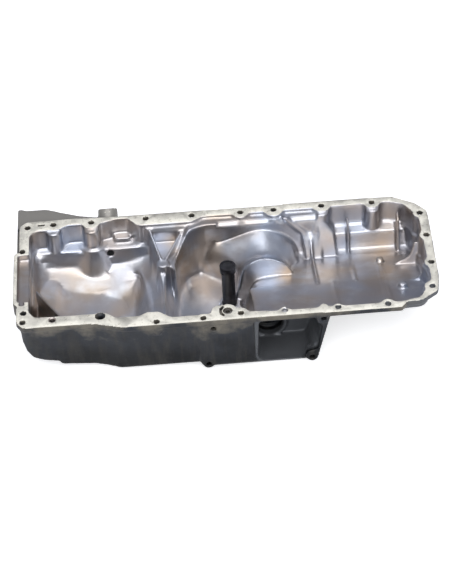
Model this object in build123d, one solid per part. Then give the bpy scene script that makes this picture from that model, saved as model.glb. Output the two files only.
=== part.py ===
from build123d import *
import math
import os

os.makedirs("parts", exist_ok=True)

# Driving dimensions in mm. X runs from the gearbox end to the front end, Y from the differential side to the
# far side. Depths run down from the gasket face. At the end the pan is lifted so that its underside is at
# z = 0, and moved along X so that the origin is under the ridge between the two basins.
depth = 108.0
origin_x = -60.0
flange_t = 9.0
wall = 5.0
ledge_depth = 37.0
lip_depth = 6.0
low_step = 3.0
screw_hole = 8.6
column_r = 11.0

# Gasket screw holes: x, y, radius of the lobe round the hole on the inner edge, 0 where the edge is straight.
far_holes = [(-302, 120, 0), (-262, 123, 0), (-203, 122, 14), (-118, 122, 0), (-46, 121, 0), (30, 120, 13),
             (82, 120, 15), (157, 121, 14), (236, 120, 13)]
end_holes = [(307, 87, 11), (310, 35, 11), (309, -27, 11), (303, -80, 12), (-310, 65, 0), (-310, -52, 0)]
near_holes = [(80, -108, 8), (159, -110, 8), (233, -111, 11)]
blind_holes = [(-307, -73, 0), (-308, -93, 0), (-264, -91, 0), (-193, -91, 9), (-110, -112, 0),
               (-41, -112, 10), (15, -107, 12)]

# Shaft tunnel from the differential face to the far wall.
tunnel_x, tunnel_depth = 59.0, 76.0
tunnel_bore, tunnel_od = 31.0, 40.0
mouth_bore, mouth_od, mouth_y = 44.0, 56.0, -51.0
rim_y, rim_r, rim_depth = 33.0, 43.5, 69.0
seal_bore, seal_depth = 50.0, 16.0

# Bowl of the main basin: plan centre and radius of its far corner, which meets the flare over the shaft.
bowl_x, bowl_y, bowl_r = -18.0, 42.5, 60.0

# Differential pad: four screw bosses as x, depth.
pad_y, pad_back = -117.0, -44.0
pad_bosses = [(-27, 19), (-37, 91), (119, 92), (137, 15)]
pad_boss_r, pad_thread = 8.5, 8.4

# Oil level sensor.
sensor_x, sensor_y, sensor_top = 2.5, 14.0, 14.0
sensor_collar, sensor_stem = 24.5, 20.5
sensor_seat = depth - 10.0
sensor_screws = [(sensor_x, sensor_y - 17), (sensor_x, sensor_y + 17)]
plug_x, plug_y, plug_seat = -205.0, -35.0, depth - 14.0
plug_thread = 12.4
lobe_x, lobe_y, lobe_bore = -4.0, -100.0, 12.8


def ring(points):
    """Closed outline through (a, b, corner radius) points, as a face in its own plane."""
    pts = [(Vector(p[0], p[1]), p[2] if len(p) > 2 else 0.0) for p in points]
    cuts = []
    for i, (c, r) in enumerate(pts):
        p, n = pts[i - 1][0], pts[(i + 1) % len(pts)][0]
        u, v = (p - c).normalized(), (n - c).normalized()
        half = math.acos(max(-1.0, min(1.0, u.dot(v)))) / 2
        if r <= 0 or half > 1.55:
            cuts.append((c, None, c))
            continue
        back = min(r / math.tan(half), 0.48 * (p - c).length, 0.48 * (n - c).length)
        r = back * math.tan(half)
        mid = (u + v).normalized()
        cuts.append((c + u * back, c + mid * (r / math.sin(half) - r), c + v * back))
    edges = []
    for i, (a, m, b) in enumerate(cuts):
        if m is not None:
            edges.append(ThreePointArc(a, m, b))
        start = cuts[(i + 1) % len(cuts)][0]
        if (start - b).length > 1e-6:
            edges.append(Line(b, start))
    return make_face(Wire(edges))


def plan(points, top, bottom):
    """Plan outline as a prism between two depths."""
    return extrude(Pos(0, 0, -bottom) * ring(points), bottom - top)


def side(points, y0, y1):
    """Outline of (x, depth, radius) in the XZ plane as a prism from y0 to y1."""
    flat = ring([(p[0], -p[1]) + tuple(p[2:]) for p in points])
    return extrude(Plane(origin=(0, y1, 0), x_dir=(1, 0, 0), z_dir=(0, -1, 0)) * flat, y1 - y0)


def cross(points, x0, x1):
    """Outline of (y, depth, radius) in the YZ plane as a prism from x0 to x1."""
    flat = ring([(p[0], -p[1]) + tuple(p[2:]) for p in points])
    return extrude(Plane(origin=(x0, 0, 0), x_dir=(0, 1, 0), z_dir=(1, 0, 0)) * flat, x1 - x0)


def post(x, y, r, top, bottom):
    """Upright cylinder between two depths."""
    return Pos(x, y, -(top + bottom) / 2) * Cylinder(r, bottom - top)


def along_y(x, d, r, y0, y1):
    """Cylinder lying along Y at depth d."""
    return Pos(x, (y0 + y1) / 2, -d) * Rot(90, 0, 0) * Cylinder(r, y1 - y0)


# Gasket flange outline and the scalloped opening inside it.
flange_pts = [(-315, 50), (-315, 124, 10), (-304, 134, 8), (-228, 135, 60), (-196, 133, 60), (95, 131),
              (99, 133), (268, 131.5, 14), (302, 112, 14), (319, 92, 12), (319, 70, 60), (316, -60, 40),
              (311, -90, 12), (284, -109, 8), (262, -110, 8), (253, -121, 5), (140, -121), (136, -120),
              (-160, -120, 30), (-203, -107.5, 30), (-308, -106, 8), (-318, -94, 8), (-318, -60, 6),
              (-315, -50)]
opening_pts = [(-299, -70, 12), (-299, 111, 16), (-256, 110, 12), (-240, 119, 10), (-188, 119, 10),
               (-164, 126, 8), (-147, 126, 8), (-131, 106.5, 12), (-46, 106.5, 12), (-30, 117, 16),
               (150, 117, 10), (262, 119, 12), (284, 111, 12), (303, 80, 14), (303, -64, 10),
               (283, -101, 14), (255, -107, 14), (60, -107, 30), (28, -104, 20), (-88, -104, 10),
               (-106, -90, 10), (-124, -90, 10), (-136, -96.5, 10), (-170, -96.5, 10), (-183, -85, 10),
               (-290, -84, 10)]
flange_face = ring(flange_pts)
opening = ring(opening_pts)
for x, y, r in far_holes + end_holes + near_holes + blind_holes:
    if r:
        opening = opening - Pos(x, y) * Circle(r)
opening = opening - Pos(lobe_x, lobe_y) * Circle(14.5) - Pos(lobe_x - 12, lobe_y + 1) * Circle(12.5)
opening = opening - Pos(138, -106) * Circle(6)
opening = offset(offset(opening, -6, kind=Kind.INTERSECTION), 6, kind=Kind.ARC)
opening_low = offset(opening, -low_step, kind=Kind.ARC)

# Outer body before it is hollowed: gasket plate, skirt along the opening, tapered sump on the near side.
plate = extrude(Pos(0, 0, -flange_t) * flange_face, flange_t)
skirt_plan = offset(opening, wall, kind=Kind.ARC) & offset(flange_face, -2, kind=Kind.INTERSECTION)
skirt = extrude(Pos(0, 0, -depth) * skirt_plan, depth)
near_plan = ring([(-322, 0), (-322, -104, 14), (-205, -105, 30), (-160, -117.5, 30), (24, -117.5), (24, 0)])
near_sump = extrude(Pos(0, 0, -3) * near_plan, -(depth - 3), taper=8.5)
deep_side = [(-312, 0), (-312, 40, 10), (-308, 62, 8), (-300, 76, 8), (-284, 83, 8), (-262, 87, 2),
             (-258, 95, 3), (-115, depth, 60), (26, depth, 8), (31, 98, 8), (49, 0)]
far_line = [(100, depth, 8), (106, 97, 10), (107, 50, 10), (134, 42, 10), (134, 0)]
far_line_left = [(84, depth, 40), (119, 86, 30), (125, 50, 10), (134, 42, 10), (134, 0)]
near_edge = [(-125, 0), (-125, 76), (-94, depth, 10)]
deep = side(deep_side, -125, 134) & (
    cross(near_edge + far_line, -128, 60) + cross(near_edge + far_line_left, -320, -112))
front_near = [(-125, 0), (-120, 9), (-104, 18, 20), (-79, 30, 40), (7, 66, 60)]
front = side([(18, 0), (18, 88, 6), (302, 88, 14), (308, 46, 10), (314, 34), (314, 0)], -125, 134) & (
    cross(front_near + [(98, 85, 12), (105, 78, 10), (107, 50, 10), (134, 42, 10), (134, 0)], 18, 170) +
    cross(front_near + [(102, 87, 12), (108, 78, 10), (111, 50, 10), (134, 42, 10), (134, 0)], 150, 320))
body = plate + ((skirt + near_sump) & deep) + (skirt & front)

# Differential pad: a deep box under the near edge, open towards the differential.
pad = side([(-52, 4), (-50, 92, 12), (-36, depth, 14), (125, depth, 8), (147, 12), (147, 4)],
           pad_y, pad_back) & cross([(pad_y, 4), (pad_y, 94, 6), (-104, depth, 10), (pad_back, depth),
           (pad_back, 4)], -60, 150)
pad = pad & plan([(-56, pad_back), (-54, pad_y, 16), (149, pad_y, 4), (149, pad_back)], 0, depth)
body = body + pad

# Hollow: two basins, sloping front floor, ledge under the far bays.
floor = depth - wall
deep_bed = side([(-303, -5), (-299, 40, 10), (-297, 66, 10), (-291, 74, 8), (-270, 77, 8), (-250, 90, 10),
                (-158, floor - 2, 40), (-142, floor - 7, 16), (-118, 64, 10), (-106, 58, 6), (-98, 58, 3),
                (-85, floor - 11, 10), (-76, floor - 1, 12), (-30, floor, 60), (125, floor), (125, -5)],
                -125, 125)
near_line = [(-103, -5), (-103, 30, 10), (-94, floor, 12)]
near_left = [(-95, -5), (-95, 30, 10), (-84, floor, 12)]
wall_top = [(101.5, 12, 6), (108, 5.5, 4), (120, 5.5), (120, -5)]
basin_far = [(97, floor, 12), (101, 46, 60)] + wall_top
basin_far_left = [(50, floor, 30), (98, 68, 8), (101, 40, 5), (119, 37, 3), (131, -5)]
basin_plan = ring([(-330, -130), (42, -130), (42, -16, 40), (48, 4, 14), (64, 17, 14), (90, 23),
                  (119, 30), (119, 130), (-330, 130)])
basins = deep_bed & (cross(near_line + basin_far, -124, 124) + cross(near_line + basin_far_left, -180, -116) +
                     cross(near_left + basin_far_left, -310, -180))
basins = basins & extrude(basin_plan, -depth, taper=13)
floor_line = [(-112, -5), (-110, 13, 8), (-80, 24, 30), (-12, 41, 60)]
shallow = side([(22, -5), (22, 90), (294, 90, 20), (302, 46, 20), (309, -5)], -125, 130) & (
    cross(floor_line + [(98, 79, 9), (101, 46, 60)] + wall_top, 20, 154) +
    cross(floor_line + [(98, 79, 9), (101, 44, 6), (118, 38.5, 3), (128, -5)], 148, 310))
lower = (basins + shallow) & extrude(Pos(0, 0, -depth) * opening_low, depth + 10)
upper = extrude(Pos(0, 0, -lip_depth) * opening, lip_depth + 2)
bays = extrude(Pos(0, 0, -ledge_depth) * opening, ledge_depth) & (
    Pos(-220, 0, -30) * Box(200, 270, 90) + Pos(240, 61, -30) * Box(164, 150, 90))
hollow = lower + upper + bays

# Inside features that stand in the hollow.
column = post(-262, 112, column_r, 2.5, ledge_depth + 3) + post(-203, 112, column_r + 1, 2.5, ledge_depth + 3)
column += post(236, 112, column_r, 2.5, ledge_depth + 3) + post(157, 112, column_r, 2.5, ledge_depth + 3)
bay_step = plan([(-170, 140), (-170, 112, 5), (-143, 112, 5), (-143, 140)], 29, ledge_depth + 3)
bulge = Pos(-203, 118, -(ledge_depth + 92) / 2) * Cone(42, 22, 92 - ledge_depth)
bowl_top = [(-98, 36), (-74, 34), (-54, 6, 6), (-50, 5.5), (-8, 5.5), (-8, 105), (-98, 105)]
bowl_plan = [(-98, 125), (-98, 60, 6), (-81, 40, 8), (-78, 34), (-8, 34), (-8, 125)]
bowl = side(bowl_top, 30, 125) & plan(bowl_plan, 0, 110)
bowl -= Pos(bowl_x, bowl_y, -55) * Cone(bowl_r - 2, bowl_r, 110)
deck = plan([(-116, 112), (-100, 50), (-92, 50), (-60, 112)], 34, 60)
fin = [(116, 4), (106, 6), (47, 30), (47, 60), (116, 60)]
fin_right = [(122, 10), (112, 12)] + fin[2:4] + [(122, 60)]
vee = Pos(-96, 47, 0) * Rot(0, 0, 17) * Pos(0, -47, 0) * cross(fin, -2.2, 2.2)
vee += Pos(-96, 47, 0) * Rot(0, 0, -31) * Pos(0, -47, 0) * cross(fin_right, -2.2, 2.2)
vee_boss = post(-96, 48, 10, 29, 100)
ridge_rib = cross([(48, 50), (-100, 50), (-100, 62), (48, 62)], -98.5, -95)
chute = extrude(Plane(origin=(0, 106, 0), x_dir=(1, 0, 0), z_dir=(0, -1, 0)) * ring(
    [(86, 4), (123, -38, 4), (125, -92), (160, -92), (160, 4)]), 46, taper=11)
chute = chute & cross([(101, -3), (98, 36, 8), (71, 84), (130, 84), (130, -3)], 80, 154)
chute_mouth = side([(104, -5), (103, 5), (139, 40, 4), (149, 5), (150, -5)], 80, 117) & cross(
    [(80, -5), (80, 42), (98, 38, 3), (116.5, 7), (116.5, -5)], 90, 160)
pilaster = side([(151, 84), (150, 12, 3), (155, 9, 3), (174, 34, 4), (179, 84)], 60, 130) & cross(
    [(101, 9), (80, 84), (130, 84), (130, 9)], 140, 190)
wall_rib_1 = cross([(100, 34), (75, 62, 6), (-12, 38), (-12, 46), (60, 84), (110, 84), (110, 34)],
                   136, 139.5)
wall_rib_2 = cross([(103, 16), (95, 20), (90, 73, 6), (-12, 38), (-12, 46), (60, 84), (110, 84),
                   (110, 16)], 194.5, 198)
wall_rib_3 = cross([(103, 12), (92, 17, 6), (82, 74), (110, 84), (110, 12)], 272, 276.5)
gusset = side([(250, 88), (250, 62), (262, 55, 10), (284, 44, 30), (291, 14), (308, 14), (308, 88)], 34, 38)
toe = side([(270, 84), (274, 39, 4), (292, 34, 10), (298, 18), (308, 18), (308, 84)], -25, -20)
corner_web = Pos(-287, -16, 0) * Rot(0, 0, -62) * side([(-6, 13), (80, 2), (80, 80), (-6, 80)], -2, 2)
studs = post(241, 50, 6, 54, 90) + Pos(264, -42, -36) * Cone(10, 6, 24)
rib_line = [(47, 60), (-12, 39.6), (-80, 22.6), (-80, 50), (47, 90)]
floor_rib = cross(rib_line, 235, 237.2) + cross(rib_line, 240.8, 243)
floor_rib += cross(rib_line, 160.8, 163) - Pos(162, 40, -60) * Box(9, 96, 90)
inner_keep = extrude(Pos(0, 0, -depth) * skirt_plan, depth - 2.5)
shapes = column + bay_step + bulge + bowl + deck + vee + vee_boss + ridge_rib + chute + pilaster
shapes += wall_rib_1 + wall_rib_2 + wall_rib_3 + gusset + toe + corner_web + studs + floor_rib
shapes = (shapes - chute_mouth) & inner_keep & (deep + front)


def arch(y, points):
    """Section of the tunnel housing in the plane of y, through (x, depth) points from foot to foot."""
    pts = [Vector(x, -d) for x, d in points]
    foot_l, foot_r = Vector(points[0][0], -105), Vector(points[-1][0], -105)
    edges = [Line(foot_l, pts[0]), Spline(*pts, tangents=((0, 1), (0, -1)))]
    edges += [Line(pts[-1], foot_r), Line(foot_r, foot_l)]
    return Plane(origin=(0, y, 0), x_dir=(1, 0, 0), z_dir=(0, -1, 0)) * make_face(Wire(edges))


def rim_arch(y, r):
    """Round section about the rim centre."""
    turns = [(-1, 0), (-0.89, 0.456), (-0.53, 0.848), (0, 1), (0.53, 0.848), (0.89, 0.456), (1, 0)]
    points = [(tunnel_x + 1 + r * c, rim_depth - r * s) for c, s in turns]
    return arch(y, [(points[0][0], 95)] + points + [(points[-1][0], 95)])


# Shaft tunnel: arched rim across the end of the floor, the groove behind it, the flare into the far wall.
flare_rows = [(46, [(18, 95), (18, 72), (23, 53), (39, 38), (60, 32.5), (81, 37.5), (98, 53), (105, 70),
              (106, 95)]), (58, [(13, 95), (15, 73), (23, 55), (41, 41), (60, 36), (82, 41.5), (101, 56),
              (110, 72), (111, 95)]), (70, [(2, 95), (5, 75), (16, 55), (38, 40), (61, 34), (85, 40.5),
              (105, 55), (115, 73), (116, 95)]), (82, [(-15, 95), (-9, 75), (4, 54), (31, 38), (61, 30),
              (87, 37), (109, 54), (117, 75), (118, 95)]), (92, [(-31, 95), (-25, 75), (-12, 54),
              (20, 37), (61, 26), (89, 34.5), (111, 55), (118, 78), (119, 95)]), (100, [(-42, 95),
              (-35, 76), (-21, 54), (14, 37.5), (61, 23.4), (90, 33.5), (112, 57), (119, 80), (120, 95)]),
              (104, [(-58, 95), (-53, 76), (-38, 54), (8, 36), (61, 20), (91, 31), (115, 56), (122, 80),
              (124, 95)])]
housing = loft([rim_arch(18, rim_r), rim_arch(rim_y + 4, rim_r)] + [arch(*row) for row in flare_rows])
face_line = [(0, 110), (rim_y - 18, 110), (rim_y + 2, 5), (0, 5)]
keep_line = [(0, 0), (0, 104), (92, 104, 8), (99, 96, 8), (103.4, 50), (103.4, 0)]
housing = (housing - cross(face_line, -100, 200)) & cross(keep_line, -100, 200)
tube = along_y(tunnel_x, tunnel_depth, tunnel_od / 2, mouth_y + 10, 118)
tube += along_y(tunnel_x, tunnel_depth, mouth_od / 2, mouth_y, mouth_y + 16)
seat = along_y(tunnel_x, tunnel_depth, seal_bore / 2 + 6, 96, 122)
under = side([(0, 40), (0, depth), (14, depth, 9), (90, depth, 20), (126, 92, 20), (126, 60)],
             rim_y + 1, 106) & cross([(rim_y - 6, 60), (rim_y + 6, depth, 12), (92, depth, 14),
             (104, 96, 14), (106, 50), (60, 50)], 0, 130)

# Seats for the level sensor and the drain plug, port boss for the return pipe on the far side.
sensor_pad = plan([(sensor_x - 14, sensor_y - 25, 6), (sensor_x - 14, sensor_y + 25, 6),
                  (sensor_x + 18, sensor_y + 25, 6), (sensor_x + 18, sensor_y - 25, 6)],
                  sensor_seat - 8, depth - 2)
plug_pad = post(plug_x, plug_y, 17, plug_seat - 10, plug_seat + 4)
port_place = Pos(-177, 119, -53) * Rot(-40, 0, 0)
port = port_place * Cylinder(15.5, 62, align=(Align.CENTER, Align.CENTER, Align.MIN))
port_bore = port_place * Pos(0, 0, -4) * Cylinder(5.6, 78, align=(Align.CENTER, Align.CENTER, Align.MIN))

# Gearbox end: flange plate with its ear, the web behind the far edge and the lip over the crankshaft seal.
# The lip stands on a solid bed, and the two blind holes that near the outer wall have bosses of their own.
ear = cross([(-46, 9), (-40, 18, 6), (0, 56, 30), (50, 88, 30), (110, 92, 30), (160, 72, 20), (182, 44, 16),
             (182, 15, 3), (178, 11, 2), (58, 9)], -319.5, -311)
web = plan([(-316, 126), (-316, 178), (-272, 176, 12), (-250, 166, 30), (-222, 155, 30), (-192, 148),
           (-150, 137), (-150, 126)], 12, 19)
saddle_bed = plan([(-317, -60), (-317, 67), (-301, 67), (-301, -60)], flange_t - 1, 24)
hole_boss = post(-110, -112, 8, flange_t - 1, 23) + post(-41, -112, 6.8, flange_t - 1, 23)
lip = plan([(-316.5, -60, 3), (-323, -51, 3), (-323, 58, 3), (-316.5, 67, 3)], 0, 24)

outside = body + under + port + ear + web + lip + saddle_bed + hole_boss
cad = outside - hollow + (shapes + housing) + (tube + seat + sensor_pad + plug_pad)

# Openings and screw holes.
recess = side([(42, 12, 3), (38, 100, 8), (114, 100, 8), (122, 76, 8), (132, 70, 6), (136, 30, 6),
              (126, 24, 6), (126, 12, 3)], pad_y + 9, mouth_y) & cross([(-109, 22), (-57, 38), (-50, 40),
              (-50, 100), (-109, 100)], 20, 140)
recess = recess - along_y(tunnel_x, tunnel_depth, mouth_od / 2, mouth_y - 6, mouth_y)
window = side([(33, 12, 3), (33, 99, 8), (107, 99, 6), (110, 82, 8), (128, 78, 6), (135, 28, 6),
              (126, 24, 6), (126, 12, 3)], pad_y - 1, pad_y + 10)
cuts = [recess, window, port_bore, along_y(-177, 49, 5.6, 94, 122),
        along_y(tunnel_x, tunnel_depth, mouth_bore / 2, mouth_y - 8, mouth_y + 12),
        along_y(tunnel_x, tunnel_depth, tunnel_bore / 2, mouth_y, 130),
        along_y(tunnel_x, tunnel_depth, seal_bore / 2, 122 - seal_depth, 130)]
cuts.append(plan([(-316.5, -48, 3), (-316.5, 57, 3), (-298, 57), (-298, -48)], -5, 12))
for x, y, r in far_holes + end_holes:
    cuts.append(post(x, y, screw_hole / 2, -1, flange_t + 1))
for x, y, r in near_holes[1:]:
    cuts.append(post(x, y, screw_hole / 2, -1, 34))
for x, y, r in blind_holes + near_holes[:1]:
    cuts.append(post(x, y, screw_hole / 2, -1, 18))
cuts += [post(-264, -91, 6.5, -1, 1.6), post(-193, -91, 7.5, -1, 3), Pos(-281, 124, 0) * Box(13, 5.5, 2)]
crescent = Pos(lobe_x, lobe_y, -4) * (Cylinder(12.6, 9) - Cylinder(9.2, 9))
cuts.append(crescent & Pos(lobe_x - 14, lobe_y, -4) * Box(18, 22, 20))
cuts.append(post(lobe_x, lobe_y, lobe_bore / 2, -1, 14))
cuts.append(Pos(84.5, -101, -2) * Box(4, 7, 8))
for y, d in [(170, 34), (60, 72)]:
    cuts.append(Pos(-316, y, -d) * Rot(0, 90, 0) * Cylinder(5.5, 30))
cuts.append(post(sensor_x, sensor_y, sensor_stem / 2 + 0.3, sensor_seat - 18, depth + 1))
cuts.append(plan([(sensor_x - 12.5, sensor_y - 22, 8), (sensor_x - 12.5, sensor_y + 22, 8),
            (sensor_x + 12.5, sensor_y + 22, 8), (sensor_x + 12.5, sensor_y - 22, 8)],
            sensor_seat, depth + 5))
for x, y in sensor_screws:
    cuts.append(post(x, y, 2.5, sensor_seat - 6, sensor_seat + 1))
cuts.append(post(plug_x, plug_y, 13, plug_seat, depth))
cuts.append(post(plug_x, plug_y, plug_thread / 2, plug_seat - 14, plug_seat + 1))
cad = cad - cuts
cad = cad + [along_y(x, d, pad_boss_r, pad_y - 1.5, pad_y + 21) for x, d in pad_bosses]
cad = cad - [along_y(x, d, pad_thread / 2, pad_y - 5, pad_y + 18) for x, d in pad_bosses]

# Oil level sensor: collar, stem, foot plate and plug socket as one moulding.
sensor = post(sensor_x, sensor_y, sensor_stem / 2, sensor_top + 11, sensor_seat + 2)
sensor += post(sensor_x, sensor_y, sensor_collar / 2, sensor_top, sensor_top + 11.5)
foot = [(sensor_x - 12, sensor_y - 21.5, 7.5), (sensor_x - 12, sensor_y + 21.5, 7.5),
        (sensor_x + 12, sensor_y + 21.5, 7.5), (sensor_x + 12, sensor_y - 21.5, 7.5)]
sensor += plan(foot, sensor_seat, sensor_seat + 4.5)
sensor += plan([(sensor_x - 7, sensor_y - 9, 2), (sensor_x - 7, sensor_y + 9, 2),
               (sensor_x + 7, sensor_y + 9, 2), (sensor_x + 7, sensor_y - 9, 2)],
               sensor_seat + 4, sensor_seat + 9.5)
sensor -= plan([(sensor_x - 5, sensor_y - 7, 1), (sensor_x - 5, sensor_y + 7, 1),
               (sensor_x + 5, sensor_y + 7, 1), (sensor_x + 5, sensor_y - 7, 1)],
               sensor_seat + 6, sensor_seat + 12)
sensor -= post(sensor_x, sensor_y, sensor_collar / 2 - 2.2, sensor_top - 1, sensor_top + 1.5)
sensor -= Pos(sensor_x, sensor_y, -(sensor_top + 9)) * Rot(0, 0, -42) * Rot(90, 0, 0) * Cylinder(
    1.3, 16, align=(Align.CENTER, Align.CENTER, Align.MIN))
for x, y in sensor_screws:
    sensor -= post(x, y, 2.7, sensor_seat - 1, sensor_seat + 6)
parts = {"oil_pan_casting": cad, "level_sensor": sensor}

# Small fasteners.
for i, (x, y) in enumerate(sensor_screws, 1):
    screw = post(x, y, 2.4, sensor_seat - 5, sensor_seat + 4.5)
    screw += post(x, y, 4.3, sensor_seat + 4.5, sensor_seat + 7.5)
    screw -= Pos(x, y, -(sensor_seat + 7)) * extrude(RegularPolygon(2.0, 6), 2, both=True)
    parts[f"sensor_screw_{i}"] = screw
plug = post(lobe_x, lobe_y, lobe_bore / 2 - 0.1, 2.2, 12)
plug -= Pos(lobe_x, lobe_y, -1) * extrude(RegularPolygon(3.6, 6), -6.5)
parts["gallery_plug"] = chamfer(plug.edges().group_by(Axis.Z)[-1].filter_by(GeomType.CIRCLE), 0.6)
head = Pos(plug_x, plug_y, -(plug_seat + 1.5)) * extrude(RegularPolygon(17 / math.sqrt(3), 6), -6)
parts["drain_plug"] = head + post(plug_x, plug_y, 5.95, plug_seat - 9, plug_seat + 2)
washer = post(plug_x, plug_y, 10.5, plug_seat, plug_seat + 1.5)
parts["drain_washer"] = washer - post(plug_x, plug_y, 6.3, plug_seat - 1, plug_seat + 3)

for name, shape in parts.items():
    shape = Pos(-origin_x, 0, depth) * shape
    export_step(shape, f"parts/{name}.step")
    print(name, len(shape.solids()), round(shape.volume), shape.is_valid)
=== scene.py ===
import math

import bmesh
import bpy
from mathutils import Matrix, Vector
from mathutils.bvhtree import BVHTree


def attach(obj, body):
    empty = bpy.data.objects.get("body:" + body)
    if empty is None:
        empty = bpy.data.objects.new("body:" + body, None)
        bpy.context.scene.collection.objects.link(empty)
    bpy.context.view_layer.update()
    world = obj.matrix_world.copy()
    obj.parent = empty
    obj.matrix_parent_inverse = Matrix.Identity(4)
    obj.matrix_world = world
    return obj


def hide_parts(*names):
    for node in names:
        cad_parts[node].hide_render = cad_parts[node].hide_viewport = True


mm = 0.001
scene = bpy.context.scene
scene.view_settings.view_transform = "Standard"


def linearColour(hexCode):  # sRGB hex to linear RGBA
    channels = [int(hexCode[i:i + 2], 16) / 255 for i in (1, 3, 5)]
    return tuple(c / 12.92 if c <= 0.04045 else ((c + 0.055) / 1.055) ** 2.4 for c in channels) + (1.0,)


def addNode(tree, kind, settings=None, inputs=None):
    # an input takes a value, an output of another node, or a node, whose first output is meant
    node = tree.nodes.new(kind)
    for key, value in (settings or {}).items():
        setattr(node, key, value)
    for key, value in (inputs or {}).items():
        source = value.outputs[0] if isinstance(value, bpy.types.Node) else value
        if isinstance(source, bpy.types.NodeSocket):
            tree.links.new(source, node.inputs[key])
        else:
            node.inputs[key].default_value = source
    return node


def newMaterial(name):  # with an empty node tree
    material = bpy.data.materials.new(name)
    material.use_nodes = True
    material.node_tree.nodes.clear()
    return material, material.node_tree


noiseRoughness = 0.55   # of every pattern that doesn't give its own


def patches(tree, coords, pattern):  # noise with patches "size" mm wide, drawn out "between" two levels
    noise = addNode(tree, "ShaderNodeTexNoise", inputs={
        "Vector": coords, "Scale": 1 / (pattern["size"] * mm),
        "Detail": pattern.get("detail", 3.0), "Roughness": pattern.get("roughness", noiseRoughness)})
    low, high = pattern["between"]
    toLow, toHigh = pattern.get("gives", (0.0, 1.0))
    return addNode(tree, "ShaderNodeMapRange", inputs={
        "Value": noise, "From Min": low, "From Max": high, "To Min": toLow, "To Max": toHigh})


def coated(tree, base, coats):  # lays colours over a base, each where its mask is 1
    colour = linearColour(base)
    for mask, tone in coats:
        colour = addNode(tree, "ShaderNodeMix", {"data_type": "RGBA"}, {
            0: mask, 6: colour, 7: linearColour(tone)}).outputs[2]
    return colour


def reliefOf(tree, coords, layers):  # bumps laid over each other: width in mm, depth in mm, detail
    under = {}
    for width, depth, detail in layers:
        height = addNode(tree, "ShaderNodeTexNoise", inputs={
            "Vector": coords, "Scale": 1 / (width * mm), "Detail": detail, "Roughness": noiseRoughness})
        relief = addNode(tree, "ShaderNodeBump", inputs={
            "Strength": 1.0, "Distance": depth * mm, "Height": height, **under})
        under = {"Normal": relief}
    return relief


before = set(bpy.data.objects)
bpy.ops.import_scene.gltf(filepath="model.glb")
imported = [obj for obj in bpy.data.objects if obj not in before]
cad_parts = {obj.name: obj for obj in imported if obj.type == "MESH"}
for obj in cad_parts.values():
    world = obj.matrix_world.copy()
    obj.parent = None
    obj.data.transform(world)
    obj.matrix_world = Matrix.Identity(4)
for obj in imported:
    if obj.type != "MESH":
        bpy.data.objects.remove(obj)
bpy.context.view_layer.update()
print("frame loaded:", len(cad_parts), "nodes")

# Camera: the photograph's own view, from above the differential side.
photoView = {
    "elevation": 43.0, "azimuth": 1.5, "roll": 3.3,   # degrees
    "distance": 2970 * mm,
    "aim": (60 * mm, 0.0, 108 * mm),                  # a point on the gasket face
    "aimRise": 40.9 * mm,                             # it sits this far above the middle of the picture
    "sensor": 36.0, "lens": 120.8,
    "clip": (0.05, 30.0),                             # m
}


def placeCamera():
    elevation, azimuth, roll = (math.radians(photoView[key]) for key in ("elevation", "azimuth", "roll"))
    run = math.cos(elevation)
    back = Vector((-math.sin(azimuth) * run, -math.cos(azimuth) * run, math.sin(elevation)))
    right = (-back).cross(Vector((0, 0, 1))).normalized()
    up = right.cross(-back)
    rolledRight = right * math.cos(roll) - up * math.sin(roll)
    rolledUp = right * math.sin(roll) + up * math.cos(roll)
    data = bpy.data.cameras.new("photoCamera")
    data.sensor_width, data.lens = photoView["sensor"], photoView["lens"]
    data.clip_start, data.clip_end = photoView["clip"]
    camera = bpy.data.objects.new("photoCamera", data)
    scene.collection.objects.link(camera)
    camera.matrix_world = Matrix((rolledRight, rolledUp, back)).transposed().to_4x4()
    aim = Vector(photoView["aim"])
    camera.location = aim + back * photoView["distance"] - rolledUp * photoView["aimRise"]
    scene.camera = camera
    print("camera placed")


placeCamera()

# Studio: white floor, one broad softbox over the near side, a smaller one above, a dim room behind.
studio = {
    "lamps": [
        {"name": "nearSoftbox", "size": (2.6, 1.7), "place": (0.1, -1.35, 1.75), "level": 2.7},
        {"name": "topSoftbox", "size": (1.6, 0.7), "place": (-0.1, 0.25, 2.2), "level": 2.1},
    ],
    "lampAim": (0, 0, 0.05),
    "nearWall": "#CDD1D9",
    "room": [                              # direction's axis, where the tone starts and is full, tone
        (1, (-0.5, 0.6), "#8B8A92"),       # far wall
        (2, (0.35, 0.95), "#B2B5BE"),      # ceiling
        (2, (0.02, -0.12), "#747272"),     # ground
    ],
    "background": "#FFFFFF",
    "floorColour": "#F4F4F4", "floorGlow": 0.60, "floorSize": 12.0,
}


def placeLamp(lamp):
    width, depth = lamp["size"]
    data = bpy.data.lights.new(lamp["name"], "AREA")
    data.shape, data.size, data.size_y = "RECTANGLE", width, depth
    data.energy = lamp["level"] * math.pi * width * depth   # level is the brightness of the lamp's face
    piece = bpy.data.objects.new(lamp["name"], data)
    scene.collection.objects.link(piece)
    piece.location = lamp["place"]
    towards = Vector(studio["lampAim"]) - Vector(lamp["place"])
    piece.rotation_euler = towards.to_track_quat("-Z", "Y").to_euler()


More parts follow.
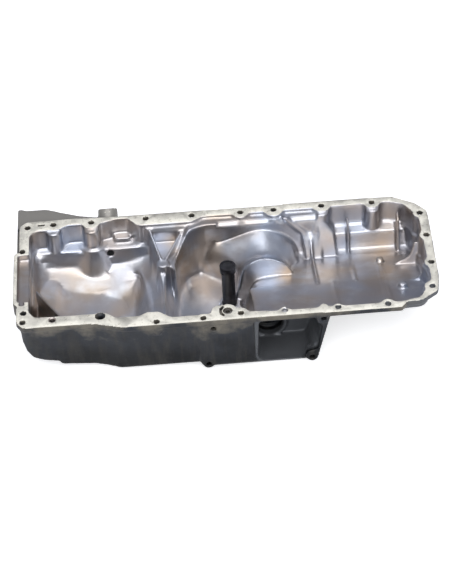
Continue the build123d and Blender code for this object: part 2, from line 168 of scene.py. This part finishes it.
def makeWorld():
    world = bpy.data.worlds.new("studioRoom")
    scene.world = world
    world.use_nodes = True
    tree = world.node_tree
    tree.nodes.clear()
    direction = addNode(tree, "ShaderNodeSeparateXYZ", inputs={
        0: addNode(tree, "ShaderNodeTexCoord").outputs["Generated"]})
    coats = []
    for axis, (start, full), tone in studio["room"]:
        reached = addNode(tree, "ShaderNodeMapRange", inputs={
            "Value": direction.outputs[axis], "From Min": start, "From Max": full})
        coats.append((reached, tone))
    seen = addNode(tree, "ShaderNodeLightPath").outputs["Is Camera Ray"]
    coats.append((seen, studio["background"]))
    shown = addNode(tree, "ShaderNodeBackground", inputs={
        "Color": coated(tree, studio["nearWall"], coats), "Strength": 1.0})
    addNode(tree, "ShaderNodeOutputWorld", inputs={"Surface": shown})


def whitePaper():  # matt, and lifted to pure white where the camera sees it unshaded
    material, tree = newMaterial("whitePaperFloor")
    paper = addNode(tree, "ShaderNodeBsdfDiffuse", inputs={"Color": linearColour(studio["floorColour"])})
    seen = addNode(tree, "ShaderNodeLightPath").outputs["Is Camera Ray"]
    lift = addNode(tree, "ShaderNodeMath", {"operation": "MULTIPLY"}, {0: seen, 1: studio["floorGlow"]})
    glow = addNode(tree, "ShaderNodeEmission", inputs={"Color": (1, 1, 1, 1), "Strength": lift})
    both = addNode(tree, "ShaderNodeAddShader", inputs={0: paper, 1: glow})
    addNode(tree, "ShaderNodeOutputMaterial", inputs={"Surface": both})
    return material


def makeFloor():
    bm = bmesh.new()
    bmesh.ops.create_grid(bm, x_segments=1, y_segments=1, size=studio["floorSize"] / 2)
    mesh = bpy.data.meshes.new("whiteFloor")
    bm.to_mesh(mesh)
    bm.free()
    mesh.materials.append(whitePaper())
    floor = bpy.data.objects.new("whiteFloor", mesh)
    scene.collection.objects.link(floor)


makeWorld()
makeFloor()
for softbox in studio["lamps"]:
    placeLamp(softbox)
print("studio made")

# Die-cast aluminium washed by oil: grey and glossy, with bluish and brown patches of thin oil film.
insideSkin = {
    "cool": "#B3B8C3", "warm": "#BDB0A3", "pale": "#D6DAE0",
    "film": {"size": 95.0, "detail": 2.0, "between": (0.40, 0.66)},
    "bloom": {"size": 38.0, "between": (0.50, 0.75), "gives": (0.0, 0.6)},
    "roughness": {"size": 26.0, "between": (0.30, 0.70), "gives": (0.29, 0.42)},
    "relief": [(14.0, 0.16, 2.0),          # shallow ripples of the die's surface
               (2.2, 0.05, 2.0)],          # blasted grain, which is finer than this but wouldn't show
}
# Outside, road dirt is burnt into the same metal; the tone goes from bare and brownish under the rim to
# nearly black towards the foot.
outsideSkin = {
    "footTone": "#0B0D10", "lowerWallTone": "#2A2D33", "bare": "#6B665C", "streak": "#4A463F",
    # the pocket's grey is painted light, lifting the recess out of its shade
    "paintedPocketLight": "#5E6063", "web": "#94918B",
    "lowerWallHeights": (24.0, 84.0), "bareHeights": (84.0, 112.0),   # mm, where each tone starts and is full
    "wander": {"size": 48.0, "detail": 4.0, "roughness": 0.6, "between": (0.30, 0.70),
               "gives": (-30 * mm, 30 * mm)},                    # they wander up and down the wall
    "pocketX": (88.0, 92.0), "pocketY": (-114.0, -108.0),        # the pocket's walls get a lighter grey, painted light in the recess's shade, the bore behind them doesn't
    "boreY": (-45.0, -48.0),                                     # the bore behind them doesn't
    "webY": (128.0, 134.0),                                      # the web and port boss there are bare
    "streakSize": (12.0, 12.0, 120.0),                           # mm, so the streaks' pattern has size 1
    "streaks": {"size": 1.0, "detail": 4.0, "roughness": 0.6, "between": (0.45, 0.80),
                "gives": (0.0, 0.6)},
    "fullStreak": 0.7, "roughness": (0.40, 0.58),                # rougher up to a streak of this strength
    "metallic": 0.4,                                             # dirt hides part of the metal
    "relief": [(11.0, 0.25, 2.0),          # ripples
               (1.8, 0.10, 2.0)],          # grain and baked dust, drawn coarse enough to show
}
# The gasket face is milled, so it is pale and even, then dulled and spotted by old sealant.
milledFace = {
    "metal": "#DCD9CD", "sealant": "#EAE6D9", "stain": "#857D69",
    "film": {"size": 16.0, "detail": 4.0, "roughness": 0.7, "between": (0.38, 0.62)},
    "spots": {"size": 5.0, "detail": 5.0, "roughness": 0.75, "between": (0.55, 0.74),
              "gives": (0.0, 0.75)},
    "metallic": (0.5, 0.0), "roughness": (0.40, 0.60),           # without and with sealant
    "relief": [(2.0, 0.05, 3.0)],          # cutter marks and scraped sealant, drawn coarse enough to show
}


def oiledCastAluminium():
    material, tree = newMaterial("oiledCastAluminium")
    coords = addNode(tree, "ShaderNodeTexCoord").outputs["Object"]
    colour = coated(tree, insideSkin["cool"], [
        (patches(tree, coords, insideSkin["film"]), insideSkin["warm"]),
        (patches(tree, coords, insideSkin["bloom"]), insideSkin["pale"])])
    shader = addNode(tree, "ShaderNodeBsdfPrincipled", inputs={
        "Base Color": colour, "Metallic": 1.0,
        "Roughness": patches(tree, coords, insideSkin["roughness"]),
        "Normal": reliefOf(tree, coords, insideSkin["relief"])})
    addNode(tree, "ShaderNodeOutputMaterial", inputs={"Surface": shader})
    return material


def grimyCastAluminium():
    material, tree = newMaterial("grimyCastAluminium")
    coords = addNode(tree, "ShaderNodeTexCoord").outputs["Object"]
    x, y, z = addNode(tree, "ShaderNodeSeparateXYZ", inputs={0: coords}).outputs
    height = addNode(tree, "ShaderNodeMath", {"operation": "ADD"}, {
        0: z, 1: patches(tree, coords, outsideSkin["wander"])})
    reached = {}
    for key, value in (("lowerWallHeights", height), ("bareHeights", height),
                       ("pocketX", x), ("pocketY", y), ("boreY", y), ("webY", y)):
        start, full = outsideSkin[key]
        reached[key] = addNode(tree, "ShaderNodeMapRange", inputs={
            "Value": value, "From Min": start * mm, "From Max": full * mm})
    # painted light: a lighter grey on the pocket's walls, where the recess lies in shade
    paintedPocketLight = 1.0
    for key in ("pocketX", "pocketY", "boreY"):
        paintedPocketLight = addNode(tree, "ShaderNodeMath", {"operation": "MULTIPLY"}, {
            0: reached[key], 1: paintedPocketLight})
    drawn = addNode(tree, "ShaderNodeMapping", inputs={
        "Vector": coords, "Scale": [1 / size for size in outsideSkin["streakSize"]]})
    streaks = patches(tree, drawn, outsideSkin["streaks"])
    colour = coated(tree, outsideSkin["footTone"], [
        (reached["lowerWallHeights"], outsideSkin["lowerWallTone"]),
        (reached["bareHeights"], outsideSkin["bare"]),
        (streaks, outsideSkin["streak"]),
        (paintedPocketLight, outsideSkin["paintedPocketLight"]),
        (reached["webY"], outsideSkin["web"])])
    low, high = outsideSkin["roughness"]
    roughness = addNode(tree, "ShaderNodeMapRange", inputs={
        "Value": streaks, "From Max": outsideSkin["fullStreak"], "To Min": low, "To Max": high})
    shader = addNode(tree, "ShaderNodeBsdfPrincipled", inputs={
        "Base Color": colour, "Metallic": outsideSkin["metallic"], "Roughness": roughness,
        "Normal": reliefOf(tree, coords, outsideSkin["relief"])})
    addNode(tree, "ShaderNodeOutputMaterial", inputs={"Surface": shader})
    return material


def milledAluminium():
    material, tree = newMaterial("milledAluminium")
    coords = addNode(tree, "ShaderNodeTexCoord").outputs["Object"]
    sealant = patches(tree, coords, milledFace["film"])
    colour = coated(tree, milledFace["metal"], [
        (sealant, milledFace["sealant"]),
        (patches(tree, coords, milledFace["spots"]), milledFace["stain"])])
    finish = {}
    for key in ("metallic", "roughness"):
        clean, covered = milledFace[key]
        finish[key] = addNode(tree, "ShaderNodeMapRange", inputs={
            "Value": sealant, "To Min": clean, "To Max": covered})
    shader = addNode(tree, "ShaderNodeBsdfPrincipled", inputs={
        "Base Color": colour, "Metallic": finish["metallic"], "Roughness": finish["roughness"],
        "Normal": reliefOf(tree, coords, milledFace["relief"])})
    addNode(tree, "ShaderNodeOutputMaterial", inputs={"Surface": shader})
    return material


# The casting: its CAD solid with a die casting's soft corners and fillets, the gasket face kept flat.
casting = {
    "voxel": 1.6, "quickVoxel": 2.6,
    "gasketFace": 108.0,                   # height of the milled face, mm
    "rimBand": 1.7,                        # how deep its sharp edge reaches
    "flattenWithin": 0.45,                 # corners this near the face are put back on it
    "softPasses": 5, "rimPasses": 3,       # rounding of the body, and of the gasket face's outline
    "triangles": 190000, "lastPasses": 2,  # what it is thinned to, and the rounding after that
    "faceLevel": 0.85, "faceReach": 0.6,   # how level and how near to its height the milled face is
    "insidePoint": (20.0, 0.0), "dropFrom": 100.0,   # over the main basin, mm above the gasket face
    "facesUp": 0.7, "lookFrom": 0.3,       # skins that don't face up are inside only if they face a wall
    "notchX": -256.9, "portY": 127.0,      # the inside's skin ends here
    "holes": [                             # x, y, radius
        (62.5, 14.0, 13.0),                # level sensor
        (-145.0, -35.0, 14.0),             # drain plug
        (-117.0, 97.0, 8.0),               # port
    ],
    "seatHeight": 12.0,                    # the inside's skin ends here in the holes of the floor
    "outerPocket": [                       # corners of the boxes that the pocket under the near rim fills
        ((97.3, -125, 0), (200, -50, 69)),
        ((97.3, -125, 0), (200, -90, 84.3)),
        ((90, -125, 0), (200, -104.4, 92)),
    ],
    "roundFrom": 2.0, "roundTo": 66.0, "roundEndX": 140.0,   # the basins' low part, up to the tunnel
    "roundPasses": 60, "holeMargin": 4.0,  # mm round each hole that isn't rounded
}
outside, inside, milled = 0, 1, 2          # the casting's material slots


def mergedCopy(nodeName, pieceName):  # a CAD node's mesh is loose triangles, so a copy of it is joined up
    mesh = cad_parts[nodeName].data.copy()
    mesh.name = pieceName
    mesh.materials.clear()
    bm = bmesh.new()
    bm.from_mesh(mesh)
    bmesh.ops.remove_doubles(bm, verts=bm.verts, dist=0.001 * mm)   # a micron
    bm.to_mesh(mesh)
    bm.free()
    piece = bpy.data.objects.new(pieceName, mesh)
    scene.collection.objects.link(piece)
    return piece


def applyModifier(piece, kind, settings):
    modifier = piece.modifiers.new(kind, kind)
    for key, value in settings.items():
        setattr(modifier, key, value)
    finished = bpy.data.meshes.new_from_object(piece.evaluated_get(bpy.context.evaluated_depsgraph_get()))
    piece.modifiers.clear()
    piece.data = finished


def relax(bm, verts, passes, level=False):  # level keeps each corner at its height
    for _ in range(passes):
        bmesh.ops.smooth_vert(
            bm, verts=verts, factor=0.5, use_axis_x=True, use_axis_y=True, use_axis_z=not level)


def softenCasting(piece):
    voxel = casting["voxel"]
    applyModifier(piece, "REMESH", {"mode": "VOXEL", "voxel_size": voxel * mm, "use_smooth_shade": True})
    top = casting["gasketFace"] * mm
    band = casting["rimBand"] * mm
    bm = bmesh.new()
    bm.from_mesh(piece.data)
    rimVerts = [vert for vert in bm.verts if abs(vert.co.z - top) <= band]
    relax(bm, [vert for vert in bm.verts if vert.co.z < top - band], casting["softPasses"])
    relax(bm, rimVerts, casting["rimPasses"], level=True)
    for vert in rimVerts:
        if abs(vert.co.z - top) < casting["flattenWithin"] * mm:
            vert.co.z = top
    bm.to_mesh(piece.data)
    bm.free()
    triangles = sum(len(face.vertices) - 2 for face in piece.data.polygons)
    if triangles > casting["triangles"]:
        applyModifier(piece, "DECIMATE", {"ratio": casting["triangles"] / triangles})
    bm = bmesh.new()
    bm.from_mesh(piece.data)   # thinning leaves single corners that catch the light
    relax(bm, [vert for vert in bm.verts if vert.co.z < top - band], casting["lastPasses"])
    bm.to_mesh(piece.data)
    bm.free()
    print("casting softened:", triangles, "triangles thinned to", len(piece.data.polygons))


def endsInside(face, tree):  # true where the oiled inside stops
    centre = face.calc_center_median()
    x, y, z = centre
    if x < casting["notchX"] * mm or y > casting["portY"] * mm:
        return True
    for holeX, holeY, radius in casting["holes"]:
        if z < casting["seatHeight"] * mm and math.hypot(x - holeX * mm, y - holeY * mm) < radius * mm:
            return True
    for low, high in casting["outerPocket"]:
        if all(a * mm < c < b * mm for a, c, b in zip(low, centre, high)):
            return True
    normal = face.normal
    if normal.z > casting["facesUp"]:
        return False
    facesDown = normal.z < -casting["facesUp"]
    away = Vector((0, 0, -1)) if facesDown else Vector((normal.x, normal.y, 0)).normalized()
    return tree.ray_cast(centre + normal * casting["lookFrom"] * mm, away)[0] is None


def roundBasins(bm):  # the inner corners low in the basins have wide radii, the holes keep their edges
    low, high = casting["roundFrom"] * mm, casting["roundTo"] * mm
    end = casting["roundEndX"] * mm
    kept = [(Vector((x * mm, y * mm)), (r + casting["holeMargin"]) * mm) for x, y, r in casting["holes"]]
    inner = [
        vert for vert in bm.verts
        if low < vert.co.z < high and vert.co.x < end and not vert.is_boundary
        and all(face.material_index == inside for face in vert.link_faces)
        and all((vert.co.xy - place).length > radius for place, radius in kept)]
    relax(bm, inner, casting["roundPasses"])


def paintCasting(piece):  # milled on the flat top, oiled from the basins' floor outwards, grimy elsewhere
    mesh = piece.data
    mesh.materials.clear()
    for material in (grimyCastAluminium(), oiledCastAluminium(), milledAluminium()):
        mesh.materials.append(material)
    bm = bmesh.new()
    bm.from_mesh(mesh)
    bm.faces.ensure_lookup_table()
    top = casting["gasketFace"] * mm
    tree = BVHTree.FromBMesh(bm)
    for face in bm.faces:
        face.smooth = True
        level = face.normal.z > casting["faceLevel"]
        near = abs(face.calc_center_median().z - top) < casting["faceReach"] * mm
        face.material_index = milled if level and near else outside
    x, y = casting["insidePoint"]
    start = Vector((x * mm, y * mm, top + casting["dropFrom"] * mm))
    _, _, floorFace, _ = tree.ray_cast(start, Vector((0, 0, -1)))
    pending = [bm.faces[floorFace]]
    while pending:   # the oil spreads from there over every skin that joins on
        face = pending.pop()
        if face.material_index != outside or endsInside(face, tree):
            continue
        face.material_index = inside
        pending.extend(
            other for edge in face.edges for other in edge.link_faces if other.material_index == outside)
    roundBasins(bm)
    bm.to_mesh(mesh)
    bm.free()


def makeCasting():
    piece = mergedCopy("oil_pan_casting", "panCasting")
    softenCasting(piece)
    paintCasting(piece)
    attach(piece, "root")
    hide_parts("oil_pan_casting")
    print("casting made")


makeCasting()

# Glass-filled nylon, moulded: black with a slight sheen, greyer where the oil has worn it.
sensorNylon = {
    "black": "#0E0E12", "worn": "#2A2A30", "ior": 1.53, "roughness": (0.30, 0.50),
    "wear": {"size": 9.0, "detail": 4.0, "between": (0.45, 0.70)},
    "relief": [(0.9, 0.05, 3.0)],          # glass fibres under the skin, drawn coarse enough to show
}
# Zinc-plated steel of the screws and plugs, which heat and oil have dulled in patches.
platedSteel = {
    "bright": "#A9A6A0", "dull": "#5B5650", "roughness": (0.28, 0.50),
    "patches": {"size": 5.0, "detail": 4.0, "between": (0.40, 0.65)},
}
# Soft aluminium of the sealing washer: pale, lightly dulled.
washerMetal = {
    "bright": "#D2D2D0", "dull": "#9A9894", "roughness": (0.32, 0.50),
    "patches": {"size": 4.0, "detail": 4.0, "between": (0.40, 0.65)},
}


def glassFilledNylon():
    material, tree = newMaterial("glassFilledNylon")
    coords = addNode(tree, "ShaderNodeTexCoord").outputs["Object"]
    wear = patches(tree, coords, sensorNylon["wear"])
    low, high = sensorNylon["roughness"]
    roughness = addNode(tree, "ShaderNodeMapRange", inputs={"Value": wear, "To Min": low, "To Max": high})
    shader = addNode(tree, "ShaderNodeBsdfPrincipled", inputs={
        "Base Color": coated(tree, sensorNylon["black"], [(wear, sensorNylon["worn"])]),
        "IOR": sensorNylon["ior"], "Roughness": roughness,
        "Normal": reliefOf(tree, coords, sensorNylon["relief"])})
    addNode(tree, "ShaderNodeOutputMaterial", inputs={"Surface": shader})
    return material


def dulledMetal(name, metal):
    material, tree = newMaterial(name)
    coords = addNode(tree, "ShaderNodeTexCoord").outputs["Object"]
    dull = patches(tree, coords, metal["patches"])
    low, high = metal["roughness"]
    roughness = addNode(tree, "ShaderNodeMapRange", inputs={"Value": dull, "To Min": low, "To Max": high})
    shader = addNode(tree, "ShaderNodeBsdfPrincipled", inputs={
        "Base Color": coated(tree, metal["bright"], [(dull, metal["dull"])]),
        "Metallic": 1.0, "Roughness": roughness})
    addNode(tree, "ShaderNodeOutputMaterial", inputs={"Surface": shader})
    return material


# Small pieces: their CAD solids with broken edges, bevel in mm.
smallPieces = [
    {"node": "level_sensor", "name": "levelSensor", "slot": "sensor", "bevel": 0.35},
    {"node": "sensor_screw_1", "name": "sensorScrewNear", "slot": "steel", "bevel": 0.35},
    {"node": "sensor_screw_2", "name": "sensorScrewFar", "slot": "steel", "bevel": 0.35},
    {"node": "gallery_plug", "name": "galleryPlug", "slot": "steel", "bevel": 0.35},
    {"node": "drain_plug", "name": "drainPlug", "slot": "steel", "bevel": 0.35},
    {"node": "drain_washer", "name": "drainWasher", "slot": "washer", "bevel": 0.35},
]
edgeRules = {
    "creaseAngle": 30.0, "flatAngle": 1.0,   # degrees, sharper edges are broken, flatter ones dissolved
    "segments": 2,
}


def makeSmallPiece(small, finish):
    crease = math.radians(edgeRules["creaseAngle"])
    piece = mergedCopy(small["node"], small["name"])
    bm = bmesh.new()
    bm.from_mesh(piece.data)
    bmesh.ops.dissolve_limit(
        bm, angle_limit=math.radians(edgeRules["flatAngle"]), verts=bm.verts, edges=bm.edges)
    sharp = [edge for edge in bm.edges if edge.calc_face_angle(0) > crease]
    bmesh.ops.bevel(
        bm, geom=sharp, offset=small["bevel"] * mm, segments=edgeRules["segments"], profile=0.5,
        affect="EDGES", clamp_overlap=True, material=-1)
    for face in bm.faces:
        face.smooth = True
    for edge in bm.edges:
        edge.smooth = edge.calc_face_angle(0) < crease
    bm.to_mesh(piece.data)
    bm.free()
    piece.data.materials.append(finish)
    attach(piece, "root")
    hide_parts(small["node"])


finishes = {
    "sensor": glassFilledNylon(),
    "steel": dulledMetal("platedSteel", platedSteel),
    "washer": dulledMetal("softAluminiumWasher", washerMetal),
}
for small in smallPieces:
    makeSmallPiece(small, finishes[small["slot"]])
print("small pieces made")
